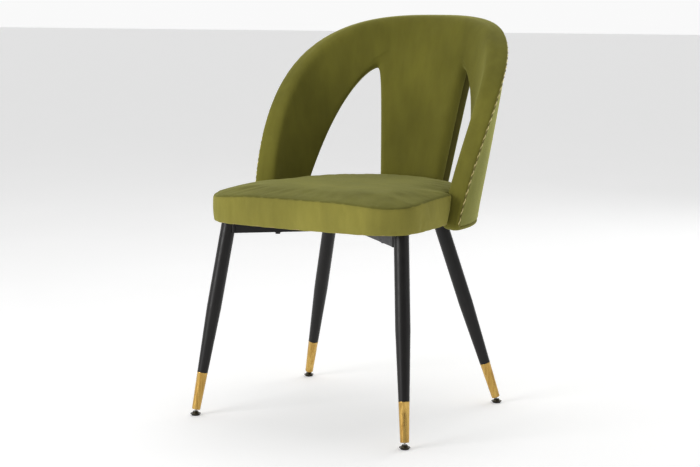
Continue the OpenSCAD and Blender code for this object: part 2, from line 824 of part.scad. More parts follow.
back_board();
back_foam_front();
back_foam_rear();
back_cover_front();
back_cover_rear();
window_lining_left();
window_lining_right();
back_cord();
back_bolts();
back_spacers();
back_inserts();
seat_board();
seat_foam();
seat_cover_top();
seat_band();
seat_dust_cover();
seat_t_nuts();
seat_bolts();
seat_washers();
long_rail();
short_rail_front();
short_rail_rear();
weld_beads();
leg_caps();
leg_front_left();
leg_front_right();
leg_rear_left();
leg_rear_right();
sleeve_front_left();
sleeve_front_right();
sleeve_rear_left();
sleeve_rear_right();
leg_nut_front_left();
leg_nut_front_right();
leg_nut_rear_left();
leg_nut_rear_right();
screw_front_left();
screw_front_right();
screw_rear_left();
screw_rear_right();
foot_cup_front_left();
foot_cup_front_right();
foot_cup_rear_left();
foot_cup_rear_right();
foot_pad_front_left();
foot_pad_front_right();
foot_pad_rear_left();
foot_pad_rear_right();
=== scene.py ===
import json
import math

import bmesh
import bpy
import numpy as np
from mathutils import Matrix, Vector
from mathutils.geometry import delaunay_2d_cdt


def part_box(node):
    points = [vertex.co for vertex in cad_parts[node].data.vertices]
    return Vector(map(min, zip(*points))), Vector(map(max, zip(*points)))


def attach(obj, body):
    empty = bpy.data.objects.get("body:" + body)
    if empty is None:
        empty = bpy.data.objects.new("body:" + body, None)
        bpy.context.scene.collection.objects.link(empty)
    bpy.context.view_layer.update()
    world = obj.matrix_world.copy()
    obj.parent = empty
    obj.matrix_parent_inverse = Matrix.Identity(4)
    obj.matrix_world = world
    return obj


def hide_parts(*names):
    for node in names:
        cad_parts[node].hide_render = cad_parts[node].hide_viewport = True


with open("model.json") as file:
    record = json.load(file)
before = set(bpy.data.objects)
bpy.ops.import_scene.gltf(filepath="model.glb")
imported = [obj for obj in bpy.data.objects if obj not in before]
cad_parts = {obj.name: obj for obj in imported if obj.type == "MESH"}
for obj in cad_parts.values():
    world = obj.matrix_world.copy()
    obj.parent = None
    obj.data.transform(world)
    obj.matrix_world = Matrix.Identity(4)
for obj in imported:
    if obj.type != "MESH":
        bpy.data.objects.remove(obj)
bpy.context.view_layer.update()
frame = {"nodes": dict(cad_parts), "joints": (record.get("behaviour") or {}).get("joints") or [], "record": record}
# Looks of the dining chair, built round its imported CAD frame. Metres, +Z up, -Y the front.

MM = 0.001
CORNERS = ("front_left", "front_right", "rear_left", "rear_right")
JOINTS = {j["name"]: j for j in frame["joints"]}

# ---- Sizes that the frame gives ----
FEET_Y = sum((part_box("foot_pad_" + c)[0].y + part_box("foot_pad_" + c)[1].y) / 8 for c in CORNERS)
CHAIR_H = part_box("back_cover_front")[1].z
BACK_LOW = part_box("back_cover_front")[0].z
SEAT_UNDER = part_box("seat_band")[0].z
SEAM_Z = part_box("seat_band")[1].z
SEAT_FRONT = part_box("seat_band")[0].y
SEAT_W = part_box("seat_band")[1].x * 2

# ---- Shape of the back, as in the CAD source ----
REF_Z = SEAT_UNDER + 41 * MM
BACK_R = 251.5 * MM
FLARE = math.radians(6.5)
RECLINE = math.radians(7.8)
AXIS_Y = FEET_Y + 39.5 * MM
WRAP = 97.0
EDGE_R = 16 * MM
TOP_POW = 1.5
SIDE_POW = 2.83
WALL = 41 * MM
SPLAT_LOW, SPLAT_TOP, WINDOW_DEG = 18.7, 24.3, 46.5
WINDOW_Z0 = SEAT_UNDER + 31 * MM
WINDOW_Z1 = CHAIR_H - 114 * MM
WINDOW_SIDE_POW, WINDOW_APEX_POW = 0.93, 0.64

# ---- Shape of the seat ----
CORNER_R = 80 * MM
FRONT_BOW = 6 * MM
SIDE_TAPER = 8 * MM
SEAT_GAP = 1.5 * MM
CROWN_H = 12 * MM
SHOULDER_H = 7.5 * MM
CORNER_DIP = 8 * MM

# ---- Rounding of the back's rim and of its windows' edges ----
ROLL_IN, ROLL_DEEP = 17 * MM, 21 * MM
RIM_BULGE = 0.9 * MM
BACK_TURN = 4.2 * MM
REVEAL_IN, REVEAL_DEEP = 15 * MM, 18 * MM
PUFF, REAR_PUFF = 3.2 * MM, 1.6 * MM

# ---- The twisted cord ----
CORD_IN, CORD_UP = 6.4 * MM, 2.0 * MM
CORD_PITCH, YARN_PITCH = 20 * MM, 7 * MM
STRAND_AT, YARN_AT, YARN_R = 1.15 * MM, 0.58 * MM, 0.70 * MM
N_CORD, CORD_TRIM, N_YARNS = 1500, 8, 3

# ---- Samples ----
N_UP, N_EDGE, N_CORNER, N_LOW = 54, 104, 10, 60
N_LOOP = N_UP + N_EDGE + N_CORNER + N_LOW
N_FACE = 14
N_SEAT = 360
# Distance between rows of even triangles, as a share of their side
ROW_STEP = 0.866


# ---- Plain mesh helpers ----
def new_object(name, points, faces, smooth=True):
    """A mesh object from its points and faces, linked to the scene."""
    mesh = bpy.data.meshes.new(name)
    mesh.from_pydata([tuple(p) for p in points], [], [tuple(f) for f in faces])
    mesh.update()
    if smooth:
        mesh.polygons.foreach_set("use_smooth", [True] * len(mesh.polygons))
    obj = bpy.data.objects.new(name, mesh)
    bpy.context.scene.collection.objects.link(obj)
    return obj


def weld(obj, gap=1e-5, outward=False):
    """Joins points closer than gap, drops loose ones, and can turn all faces outward."""
    bm = bmesh.new()
    bm.from_mesh(obj.data)
    bmesh.ops.remove_doubles(bm, verts=bm.verts, dist=gap)
    bmesh.ops.dissolve_degenerate(bm, edges=bm.edges, dist=gap / 10)
    loose = [v for v in bm.verts if not v.link_faces]
    bmesh.ops.delete(bm, geom=loose, context="VERTS")
    if outward:
        bmesh.ops.recalc_face_normals(bm, faces=bm.faces)
    bm.to_mesh(obj.data)
    bm.free()
    obj.data.polygons.foreach_set("use_smooth", [True] * len(obj.data.polygons))
    obj.data.update()
    return obj


def thicken(obj, thickness):
    """Turns an open skin into a closed one, its thickness added behind the visible side."""
    m = obj.modifiers.new("thickness", "SOLIDIFY")
    m.thickness = thickness
    m.offset = -1
    return obj


def ring_faces(a, b, n, first=0):
    """Faces between rings a and b of n points each, from the point called first on."""
    return [(a * n + i, b * n + i, b * n + (i + 1) % n, a * n + (i + 1) % n)
            for i in range(first, n)]


def stack_faces(starts, n):
    """Faces between each ring and the next. starts holds the first point that counts."""
    faces = []
    for r in range(1, len(starts)):
        faces += ring_faces(r - 1, r, n, starts[r])
    return faces


def resample(points, n, closed_end=False):
    """n points at equal steps along a polyline, without its last point unless closed_end."""
    p = np.asarray(points, float)
    steps = np.r_[0, np.cumsum(np.linalg.norm(np.diff(p, axis=0), axis=1))]
    s = np.linspace(0, steps[-1], n if closed_end else n + 1)
    s = s if closed_end else s[:-1]
    return np.stack([np.interp(s, steps, p[:, k]) for k in range(p.shape[1])], 1)


def relax(loop, passes):
    """Rounds the corners of a closed loop."""
    for _ in range(passes):
        loop = (np.roll(loop, 1, 0) + 2 * loop + np.roll(loop, -1, 0)) / 4
    return loop


def distance_to(points, line):
    """Distance of each point from the nearest sample of a line, in the plane."""
    return np.sqrt(((points[:, None, :] - line[None, :, :]) ** 2).sum(2).min(1))


def wave_noise(p, scale, seed=0.0):
    """Smooth noise in -1..1 from a few crossed sine waves, the same on each run."""
    x, y, z = (p * (2 * math.pi / scale)).T
    a = np.sin(x + 1.7 * np.sin(0.7 * y + seed) + 0.9 * z + seed)
    b = np.sin(y * 1.13 + 1.3 * np.sin(0.8 * z + 2 * seed) - 0.6 * x)
    c = np.sin(z * 0.91 + 1.1 * np.sin(0.9 * x - seed) + 0.5 * y + 3 * seed)
    return (a + b + c) / 3


# ---- The back's surface: angle along it in metres at REF_Z, height, depth ----
def back_r(z):
    return BACK_R + math.tan(FLARE) * (z - REF_Z)


def back_y(z):
    return AXIS_Y + math.tan(RECLINE) * (z - REF_Z)


def deg_of(length):
    return math.degrees(length / BACK_R)


def on_back(loop, depth):
    """Points in space from (angle in degrees, height) and the depth below the outer face."""
    phi, z = np.radians(loop[:, 0]), loop[:, 1]
    r = back_r(z) - depth
    return np.stack([r * np.sin(phi), back_y(z) + r * np.cos(phi), z], 1)


def flat_map(loop):
    return np.stack([np.radians(loop[:, 0]) * BACK_R, loop[:, 1]], 1)


def from_flat(loop):
    return np.stack([np.degrees(loop[:, 0] / BACK_R), loop[:, 1]], 1)


def even(points, n):
    return from_flat(resample(flat_map(np.asarray(points)), n))


def edge_loop(d):
    """Half of the back's outline, inset by d: centre line, edge, corner, bottom."""
    z0 = BACK_LOW + d
    h = CHAIR_H - d - z0
    w = WRAP - deg_of(d)
    r = max(EDGE_R - d, 2 * MM)
    a0 = math.asin((r / h) ** (TOP_POW / 2))
    phi0 = w * math.cos(a0) ** (2 / SIDE_POW)
    a = math.pi / 2 + (a0 - math.pi / 2) * np.linspace(0, 1, 900) ** (SIDE_POW / 2)
    edge = np.stack([w * np.clip(np.cos(a), 0, 1) ** (2 / SIDE_POW),
                     z0 + h * np.sin(a) ** (2 / TOP_POW)], 1)
    b = np.linspace(0, math.pi / 2, 40)
    corner = np.stack([phi0 - deg_of(r) * (1 - np.cos(b)), z0 + r * (1 - np.sin(b))], 1)
    low = np.array([[phi0 - deg_of(r), z0], [0, z0]])
    return np.concatenate([even([[0, z0], [0, z0 + h]], N_UP), even(edge, N_EDGE),
                           even(corner, N_CORNER), even(low, N_LOW)])


def splat_deg(t):
    return SPLAT_LOW + (SPLAT_TOP - SPLAT_LOW) * t + t ** 12


def window_loop(d):
    """Outline of the right window, outset by d: up the splat, down the pillar, sill."""
    z0 = WINDOW_Z0 - d
    h = WINDOW_Z1 + 2 * d - z0
    dd = deg_of(d)
    t = np.linspace(0, 1, 400)
    splat = np.stack([splat_deg(t) - dd, z0 + h * t], 1)
    t = 1 - np.linspace(0, 1, 900) ** 1.5
    width = (WINDOW_DEG + 2 * dd) * np.clip(1 - t ** WINDOW_SIDE_POW, 0, 1) ** WINDOW_APEX_POW
    pillar = np.stack([splat_deg(t) - dd + width, z0 + h * t], 1)
    sill = np.array([pillar[-1], splat[0]])
    loop = np.concatenate([even(splat, N_UP), even(pillar, N_EDGE + N_CORNER),
                           even(sill, N_LOW)])
    return from_flat(relax(flat_map(loop), 4))


EDGE_LINE = np.concatenate([flat_map(edge_loop(0))[N_UP:], flat_map(edge_loop(0))[:1]])
EDGE_LINE = np.concatenate([EDGE_LINE, EDGE_LINE * [-1, 1]])
WINDOW_LINE = flat_map(window_loop(0))


def fullness(loop, reach):
    """0 at the outline and at the windows, rising to 1 well away from both."""
    p = flat_map(loop)
    rise = 1.0
    for line in (EDGE_LINE, WINDOW_LINE):
        rise = rise * (1 - np.exp(-((distance_to(p, line) / reach) ** 1.5)))
    return rise


def blended_rings(inner, outer, steps, depth_of):
    """Rings on the back from a window's loop towards the outline's, at the given steps."""
    loops = [inner + (outer - inner) * (j / N_FACE) for j in steps]
    return [on_back(loop, depth_of(loop)) for loop in loops]


def panel_rings(window_profile, face_depth, edge_profile):
    """Rings of one half of a skin of the back, and where each starts. The profiles are lists
    of (inset or outset, depth), from the window's seam to the face and on to the outer seam."""
    rings = [on_back(window_loop(d), depth) for d, depth in window_profile]
    inner, outer = window_loop(window_profile[-1][0]), edge_loop(edge_profile[0][0])
    rings += blended_rings(inner, outer, range(1, N_FACE + 1), face_depth)
    starts = [0] * len(rings)
    rings += [on_back(edge_loop(d), depth) for d, depth in edge_profile[1:]]
    starts += [N_UP] * (len(edge_profile) - 1)
    return rings, starts


def open_layer(name, window_profile, face_depth, edge_profile, inward):
    """A skin of the back, open behind."""
    rings, starts = panel_rings(window_profile, face_depth, edge_profile)
    return both_halves(name, np.concatenate(rings), stack_faces(starts, N_LOOP), inward)


def closed_layer(name, window_profile, face_depth, edge_profile, flat):
    """A layer of the back with a shaped face and a flat rear side at the depth flat."""
    last = edge_profile[-1][0]
    rings, starts = panel_rings(window_profile, face_depth, edge_profile + [(last, flat)])
    inner, outer = window_loop(window_profile[0][0]), edge_loop(last)
    rings += blended_rings(inner, outer, range(N_FACE - 1, -1, -1), lambda loop: flat)
    starts += [0] * N_FACE
    obj = both_halves(name, np.concatenate(rings), stack_faces(starts, N_LOOP), inward=False)
    return weld(obj, 2e-5, outward=True)


def both_halves(name, points, faces, inward):
    """Joins a half with its mirror image along the centre line."""
    n = len(points)
    other = [tuple(reversed([v + n for v in f])) for f in faces]
    obj = new_object(name, np.concatenate([points, points * [-1, 1, 1]]), faces + other)
    weld(obj, 2e-5)
    if inward:
        obj.data.flip_normals()
    return obj


# ---- Profiles across the back's edge and the windows' edges ----
def quarter(a, b, steps, power=2.2):
    """Points of a quarter of a superellipse, from (0, b) to (a, 0)."""
    t = np.linspace(0, math.pi / 2, steps)
    return [(a * math.sin(x) ** (2 / power), b * abs(math.cos(x)) ** (2 / power)) for x in t]


def rim_profile(shrink=0.0):
    """From the inner face over the rounded rim down to the cord's seam."""
    roll = [(ROLL_IN - x + shrink, WALL - ROLL_DEEP + y - shrink)
            for x, y in quarter(ROLL_IN, ROLL_DEEP, 12)]
    if shrink:
        return roll
    rim = [(-RIM_BULGE * math.sin(math.pi * t), (WALL - ROLL_DEEP) * (1 - t) + BACK_TURN * t)
           for t in (0.2, 0.4, 0.6, 0.8)]
    turn = [(BACK_TURN * (1 - math.cos(a)), BACK_TURN * (1 - math.sin(a)) - 0.6 * MM * math.sin(a))
            for a in np.linspace(0, math.pi / 2, 7)]
    tuck = [(5.0 * MM, -0.3 * MM), (5.7 * MM, 0.5 * MM), (6.2 * MM, 2.0 * MM)]
    return roll + rim + turn + tuck


def reveal_profile(shrink=0.0):
    """From the lining's seam over the window's front edge to the inner face."""
    turn = [(REVEAL_IN - x + shrink, WALL - REVEAL_DEEP + y - shrink)
            for x, y in quarter(REVEAL_IN, REVEAL_DEEP, 8)][::-1]
    if shrink:
        return turn
    seam = WALL - REVEAL_DEEP - 3 * MM
    return [(2.6 * MM, seam - 0.6 * MM), (0.9 * MM, seam), (0.1 * MM, seam + 1.2 * MM)] + turn


def low_fade(z):
    """0 where the seat presses against the back, 1 above it."""
    t = np.clip((z - SEAM_Z) / (45 * MM), 0, 1)
    return t * t * (3 - 2 * t)


def inner_face(loop):
    """Depth of the sitter's side, puffed out between its seams."""
    return WALL + PUFF * fullness(loop, 45 * MM) * low_fade(loop[:, 1])


def outer_face(loop):
    """Depth of the rear side. Below 0 it stands out past the CAD face."""
    return -REAR_PUFF * fullness(loop, 40 * MM)


def pucker(obj, lines, reach, height, scale):
    """Small gathers in the cloth beside its seams."""
    me = obj.data
    co = np.zeros(len(me.vertices) * 3)
    me.vertices.foreach_get("co", co)
    co = co.reshape(-1, 3)
    normals = np.array([v.normal[:] for v in me.vertices])
    near = np.exp(-((distance_to(co, lines) / reach) ** 2))
    lift = height * near * wave_noise(co, scale, 0.4)
    me.vertices.foreach_set("co", (co + normals * lift[:, None]).ravel())
    me.update()


def outline(d, depth):
    """The back's edge in space, both halves, from one lower corner round to the other."""
    half = on_back(edge_loop(d), depth)[N_UP:N_UP + N_EDGE + N_CORNER + 1]
    return np.concatenate([half[:0:-1] * [-1, 1, 1], half])


# ---- Materials ----
def material(name):
    m = bpy.data.materials.new(name)
    m.use_nodes = True
    return m, m.node_tree, m.node_tree.nodes["Principled BSDF"]


def add(tree, kind, **inputs):
    node = tree.nodes.new(kind)
    for key, value in inputs.items():
        node.inputs[key].default_value = value
    return node


def noise(tree, scale, detail=3.0, rough=0.5, stretch=None):
    coords = tree.nodes.new("ShaderNodeTexCoord")
    node = add(tree, "ShaderNodeTexNoise", Scale=scale, Detail=detail, Roughness=rough)
    if stretch:
        mapping = add(tree, "ShaderNodeMapping", Scale=stretch)
        tree.links.new(coords.outputs["Object"], mapping.inputs["Vector"])
        tree.links.new(mapping.outputs["Vector"], node.inputs["Vector"])
    else:
        tree.links.new(coords.outputs["Object"], node.inputs["Vector"])
    return node.outputs["Fac"]


def ramp(tree, fac, stops):
    node = tree.nodes.new("ShaderNodeValToRGB")
    while len(node.color_ramp.elements) < len(stops):
        node.color_ramp.elements.new(0.5)
    for e, (place, colour) in zip(node.color_ramp.elements, stops):
        e.position = place
        e.color = (*colour, 1) if len(colour) == 3 else colour
    tree.links.new(fac, node.inputs["Fac"])
    return node.outputs["Color"]


def grey(value):
    return (value, value, value)


def vary(tree, shader, socket, fac, low, high):
    """Lets a socket of the shader go from low to high with the noise fac."""
    tree.links.new(ramp(tree, fac, [(0.3, low), (0.7, high)]), shader.inputs[socket])


def mix(tree, kind, fac, a, b):
    node = tree.nodes.new("ShaderNodeMix")
    node.data_type = "RGBA"
    node.blend_type = kind
    node.inputs["Factor"].default_value = fac
    tree.links.new(a, node.inputs[6])
    tree.links.new(b, node.inputs[7])
    return node.outputs[2]


def bump(tree, shader, fac, strength, distance, normal=None):
    node = add(tree, "ShaderNodeBump", Strength=strength, Distance=distance)
    tree.links.new(fac, node.inputs["Height"])
    if normal is not None:
        tree.links.new(normal, node.inputs["Normal"])
    tree.links.new(node.outputs["Normal"], shader.inputs["Normal"])
    return node.outputs["Normal"]


def velvet(name, tone_with_painted_light, shine=0.5):
    """Short-pile velvet. The colour given second is this panel's base colour, made lighter or darker for the light
    and shade that falls on the panel: painted light and shade.
    """
    m, tree, shader = material(name)
    dark, light = [tuple(c * k for c in tone_with_painted_light) for k in (0.80, 1.22)]
    patches = ramp(tree, noise(tree, 8, 3, 0.55, (1, 1, 0.5)),
                   [(0.30, dark), (0.50, tone_with_painted_light), (0.74, light)])
    streaks = ramp(tree, noise(tree, 55, 4, 0.6, (1, 1, 0.14)),
                   [(0.35, grey(0.90)), (0.65, grey(1.0))])
    pile = ramp(tree, noise(tree, 1900, 2, 0.6), [(0.3, grey(0.84)), (0.7, grey(1.0))])
    colour = mix(tree, "MULTIPLY", 1.0, mix(tree, "MULTIPLY", 1.0, patches, streaks), pile)
    tree.links.new(colour, shader.inputs["Base Color"])
    vary(tree, shader, "Roughness", noise(tree, 30, 3), grey(0.82), grey(0.94))
    shader.inputs["Specular IOR Level"].default_value = 0.12
    shader.inputs["Sheen Weight"].default_value = shine
    shader.inputs["Sheen Roughness"].default_value = 0.38
    shader.inputs["Sheen Tint"].default_value = (0.60, 0.60, 0.20, 1)
    soft = bump(tree, shader, noise(tree, 26, 3, 0.5), 0.10, 0.002)
    bump(tree, shader, noise(tree, 1500, 2, 0.7), 0.35, 0.0004, soft)
    return m


def black_steel():
    """Satin black powder coat with its fine orange-peel texture."""
    m, tree, shader = material("black_powder_coat")
    vary(tree, shader, "Base Color", noise(tree, 40, 4),
         (0.0040, 0.0034, 0.0033), (0.0072, 0.0060, 0.0058))
    vary(tree, shader, "Roughness", noise(tree, 90, 3), grey(0.33), grey(0.45))
    shader.inputs["Specular IOR Level"].default_value = 0.32
    bump(tree, shader, noise(tree, 900, 2, 0.5), 0.12, 0.0003)
    return m


def brushed_gold_painted_reflections():
    """Brushed brass-plated sleeve. Its base colour runs in dark and light streaks along the leg: partly the
    brushed grain, partly painted dark reflections.
    """
    m, tree, shader = material("brushed_gold_painted_reflections")
    # Dark and light bands along the leg in the base colour: painted reflections over the brushed grain.
    vary(tree, shader, "Base Color", noise(tree, 160, 4, 0.6, (1, 1, 0.04)),
         (0.40, 0.22, 0.050), (0.70, 0.47, 0.14))
    shader.inputs["Metallic"].default_value = 1.0
    vary(tree, shader, "Roughness", noise(tree, 420, 3, 0.6, (1, 1, 0.03)), grey(0.20), grey(0.36))
    bump(tree, shader, noise(tree, 900, 3, 0.6, (1, 1, 0.03)), 0.10, 0.0003)
    return m


def gold_thread():
    """Metallic gold yarn of the twisted cord."""
    m, tree, shader = material("gold_thread")
    vary(tree, shader, "Base Color", noise(tree, 700, 3, 0.6), (0.62, 0.50, 0.16), (0.92, 0.82, 0.42))
    shader.inputs["Metallic"].default_value = 0.75
    vary(tree, shader, "Roughness", noise(tree, 1200, 2), grey(0.22), grey(0.42))
    bump(tree, shader, noise(tree, 2600, 2, 0.7), 0.4, 0.0003)
    return m


def metal(name, dark, light, rough, metallic=1.0, scale=300):
    """Bare or plated metal with a fine grain."""
    m, tree, shader = material(name)
    vary(tree, shader, "Base Color", noise(tree, scale, 3), dark, light)
    shader.inputs["Metallic"].default_value = metallic
    vary(tree, shader, "Roughness", noise(tree, scale * 1.7, 3), grey(rough * 0.8), grey(rough * 1.25))
    bump(tree, shader, noise(tree, scale * 4, 2), 0.08, 0.0002)
    return m


def plain(name, dark, light, rough, scale, height, stretch=None):
    """Foam, rubber and other dull stuff with its own grain."""
    m, tree, shader = material(name)
    vary(tree, shader, "Base Color", noise(tree, scale, 4, 0.6, stretch), dark, light)
    vary(tree, shader, "Roughness", noise(tree, scale * 0.7, 3), grey(rough - 0.07), grey(rough + 0.05))
    bump(tree, shader, noise(tree, scale * 3, 3, 0.6, stretch), 0.3, height)
    return m


def dust_cloth():
    """Black spun-bonded cloth with its grid of bonding dots."""
    m, tree, shader = material("dust_cloth")
    coords = tree.nodes.new("ShaderNodeTexCoord")
    dots = add(tree, "ShaderNodeTexVoronoi", Scale=700.0, Randomness=0.15)
    tree.links.new(coords.outputs["Object"], dots.inputs["Vector"])
    tree.links.new(ramp(tree, dots.outputs["Distance"], [(0.1, grey(0.004)), (0.6, grey(0.014))]),
                   shader.inputs["Base Color"])
    vary(tree, shader, "Roughness", noise(tree, 200, 3), grey(0.78), grey(0.92))
    bump(tree, shader, dots.outputs["Distance"], 0.4, 0.0003)
    return m


# The five velvets are one cloth with base colours set for the light on each panel: painted light on the rear panel
# and seat band, painted shade on the inner back and seat top, painted shadow on the window linings.
M = {
    "velvet": velvet("velvet_inner_back_painted_shade", (0.172, 0.160, 0.026)),
    "rear": velvet("velvet_rear_panel_painted_light", (0.200, 0.200, 0.048), 0.75),
    "lining": velvet("velvet_window_lining_painted_shadow", (0.085, 0.076, 0.012), 0.2),
    "seat": velvet("velvet_seat_top_painted_shade", (0.158, 0.152, 0.034), 0.35),
    "band": velvet("velvet_seat_band_painted_light", (0.255, 0.230, 0.048), 0.35),
    "cord": plain("olive_yarn", (0.13, 0.11, 0.018), (0.24, 0.20, 0.045), 0.7, 900, 0.0003),
    "foam": plain("foam", (0.62, 0.54, 0.30), (0.72, 0.64, 0.40), 0.9, 900, 0.0006),
    "plywood": plain("plywood", (0.36, 0.22, 0.10), (0.58, 0.40, 0.22), 0.6, 60, 0.0003, (1, 1, 14)),
    "black_steel": black_steel(),
    "gold_sleeve": brushed_gold_painted_reflections(),
    "zinc_steel": metal("zinc_steel", grey(0.42), grey(0.60), 0.35),
    "foot_steel": metal("foot_steel", (0.020, 0.016, 0.008), (0.050, 0.040, 0.018), 0.32, 0.6, 500),
    "rubber": plain("rubber", grey(0.010), grey(0.022), 0.8, 600, 0.0002),
    "dust_cloth": dust_cloth(),
    "gold_cord": gold_thread(),
}
NODE_SLOT = {s["node"]: s["material_slot"] for s in frame["record"]["subparts"]}


def finish_piece(obj, slot, replaces, tone=None):
    """Gives a piece of the frame the material of its slot, or of its tone if given, hangs it under the frame's
    body and hides the CAD nodes that it replaces.
    """
    obj.data.materials.clear()
    obj.data.materials.append(M[tone or slot])
    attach(obj, "frame")
    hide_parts(*replaces)


# ---- Camera, floor and light ----
def camera():
    """The view of the chair from its front, to the right of the middle and a little above."""
    azimuth, elevation, roll = math.radians(31.16), math.radians(8.17), math.radians(0.04)
    distance, slide, rise = 3.3484, -1.2 * MM, 15.6 * MM
    target = Vector((0, FEET_Y, 0.36))
    back = Vector((math.sin(azimuth) * math.cos(elevation),
                   -math.cos(azimuth) * math.cos(elevation), math.sin(elevation)))
    right = Vector((math.cos(azimuth), math.sin(azimuth), 0))
    up = back.cross(right)
    right, up = (right * math.cos(roll) + up * math.sin(roll),
                 up * math.cos(roll) - right * math.sin(roll))
    data = bpy.data.cameras.new("camera")
    data.lens, data.sensor_width = 82.44, 36
    obj = bpy.data.objects.new("camera", data)
    obj.matrix_world = Matrix((right, up, back)).transposed().to_4x4()
    obj.location = target + back * distance + right * slide + up * rise
    bpy.context.scene.collection.objects.link(obj)
    bpy.context.scene.camera = obj


def light(name, place, aim, size, power):
    data = bpy.data.lights.new(name, "AREA")
    data.shape, data.size, data.size_y = "RECTANGLE", *size
    data.energy = power
    obj = bpy.data.objects.new(name, data)
    obj.location = place
    obj.rotation_euler = (Vector(aim) - Vector(place)).to_track_quat("-Z", "Y").to_euler()
    bpy.context.scene.collection.objects.link(obj)


def backdrop():
    """Even pale light, brighter from behind the chair than from the camera's side."""
    world = bpy.data.worlds.new("world")
    world.use_nodes = True
    tree = world.node_tree
    coords = tree.nodes.new("ShaderNodeTexCoord")
    toward = tree.nodes.new("ShaderNodeVectorMath")
    toward.operation = "DOT_PRODUCT"
    toward.inputs[1].default_value = (-0.6, 0.8, 0)
    tree.links.new(coords.outputs["Generated"], toward.inputs[0])
    shade = ramp(tree, toward.outputs["Value"], [(0.0, grey(0.36)), (0.45, grey(1.0))])
    tree.links.new(shade, tree.nodes["Background"].inputs["Color"])
    tree.nodes["Background"].inputs["Strength"].default_value = 0.95
    bpy.context.scene.world = world


def studio():
    """A wide pale floor, with one soft key light and three weaker ones."""
    half = 40.0
    corners = [(-half, -half, 0), (half, -half, 0), (half, half, 0), (-half, half, 0)]
    floor = new_object("floor", corners, [(0, 1, 2, 3)], smooth=False)
    m, tree, shader = material("pale_floor")
    vary(tree, shader, "Base Color", noise(tree, 3, 2), grey(0.90), grey(0.92))
    shader.inputs["Roughness"].default_value = 0.75
    shader.inputs["Specular IOR Level"].default_value = 0.2
    shader.inputs["Emission Color"].default_value = (1, 1, 1, 1)
    shader.inputs["Emission Strength"].default_value = 0.22
    floor.data.materials.append(m)
    backdrop()
    aim = (0, -0.02, 0.5)
    light("key", (-1.5, -3.1, 1.2), aim, (1.5, 1.5), 60)
    light("side", (3.2, 0.2, 1.2), aim, (1.2, 2.0), 5)
    light("top", (0.1, 0.6, 3.2), aim, (2.4, 2.4), 20)
    light("rear", (0.6, 3.0, 1.8), aim, (1.6, 1.6), 14)
    bpy.context.scene.view_settings.view_transform = "Standard"
    bpy.context.scene.view_settings.look = "None"


camera()
studio()


# ---- The back ----
def build_front_cover():
    front = open_layer("back_cover_front_velvet", reveal_profile(), inner_face, rim_profile(),
                       inward=False)
    pucker(front, outline(3 * MM, 0), 9 * MM, 0.35 * MM, 17 * MM)
    thicken(front, 1.3 * MM)
    # The sitter's side takes the darker copy of the velvet: painted shade.
    finish_piece(front, "velvet", replaces=["back_cover_front"])


def build_front_foam():
    """The foam just under the front cover, down to the board."""
    under = 1.8 * MM
    board_side = 15.7 * MM
    window = [(2.0 * MM, board_side)] + reveal_profile(under)
    foam = closed_layer("back_foam_front_block", window, lambda p: inner_face(p) - under,
                        rim_profile(under), board_side)
    finish_piece(foam, "foam", replaces=["back_foam_front"])


def build_rear_cover():
    edge = [(17 * MM, -1.1 * MM), (14 * MM, -1.0 * MM), (11.5 * MM, -0.6 * MM),
            (9.4 * MM, 0.2 * MM), (8.0 * MM, 1.3 * MM), (7.0 * MM, 2.3 * MM),
            (6.2 * MM, 2.8 * MM)]
    window = [(3.0 * MM, 3.0 * MM), (1.3 * MM, 2.0 * MM), (1.0 * MM, 1.2 * MM),
              (1.8 * MM, 0.4 * MM), (3.2 * MM, -0.1 * MM), (5.5 * MM, -0.3 * MM)]
    rear = open_layer("back_cover_rear_velvet", window, lambda p: outer_face(p) - 0.35 * MM,
                      edge, inward=True)
    pucker(rear, outline(9 * MM, 0), 9 * MM, 0.35 * MM, 20 * MM)
    thicken(rear, 1.2 * MM)
    # The rear panel takes a lighter copy of the velvet: painted light.
    finish_piece(rear, "velvet", replaces=["back_cover_rear"], tone="rear")


def build_rear_foam():
    """The thin foam between the board and the rear cover."""
    inset = 4.0 * MM
    board_side = 5.4 * MM
    window = [(inset, board_side), (inset, 2.2 * MM)]
    edge = [(19 * MM, 0.9 * MM), (13 * MM, 1.8 * MM), (9 * MM, 4.0 * MM)]
    foam = closed_layer("back_foam_rear_sheet", window, lambda p: outer_face(p) + 1.2 * MM,
                        edge, board_side)
    finish_piece(foam, "foam", replaces=["back_foam_rear"])


def build_lining(side):
    """The strip of velvet round the inside of a window."""
    low, top = 2.0 * MM, WALL - REVEAL_DEEP - 3.3 * MM
    outside = [(1.6, 0.0), (0.4, 0.04), (0.0, 0.12), (-0.35, 0.5), (0.0, 0.88), (0.4, 0.96),
               (1.6, 1.0)]
    rings = [on_back(window_loop(d * MM), low + (top - low) * t) for d, t in outside]
    rings += [on_back(window_loop(2.8 * MM), low + (top - low) * t) for t in (1.0, 0.5, 0.0)]
    faces = []
    for r in range(len(rings)):
        faces += ring_faces(r, (r + 1) % len(rings), N_LOOP)
    points = np.concatenate(rings) * [side, 1, 1]
    word = "left" if side < 0 else "right"
    obj = new_object(f"window_lining_{word}_velvet", points, faces)
    weld(obj, 1e-5, outward=True)
    # The lining takes a much darker copy of the velvet: painted shadow inside the window.
    finish_piece(obj, "velvet", replaces=["window_lining_" + word], tone="lining")


